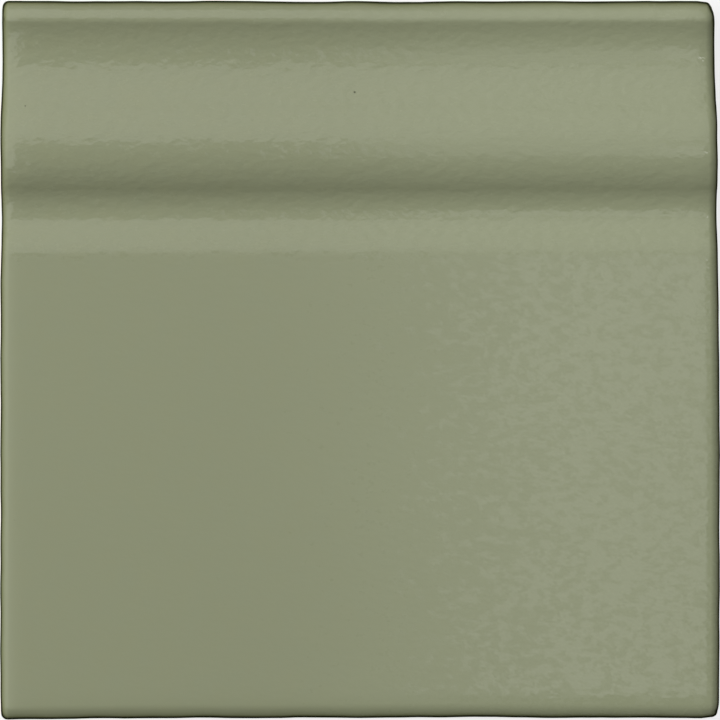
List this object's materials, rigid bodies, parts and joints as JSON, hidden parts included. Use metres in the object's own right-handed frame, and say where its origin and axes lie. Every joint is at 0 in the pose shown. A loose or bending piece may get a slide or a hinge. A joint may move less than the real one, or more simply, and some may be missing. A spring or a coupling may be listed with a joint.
{
  "type": "skirting tile",
  "caption": "Square glazed ceramic skirting tile with a flat field, a moulded upper edge of bead, cove, swell and groove, rounded edges and a keyed back.",
  "frame": {"origin": "middle of the tile's back", "axes": "+X along the skirting, +Y towards the tile's top edge, +Z out of the wall, away from the back"},
  "size_m": [0.15, 0.15, 0.013],
  "materials": {
    "glaze": "satin"
  },
  "bodies": {
    "root": {"skirting_tile": "glaze"}
  },
  "joints": []
}
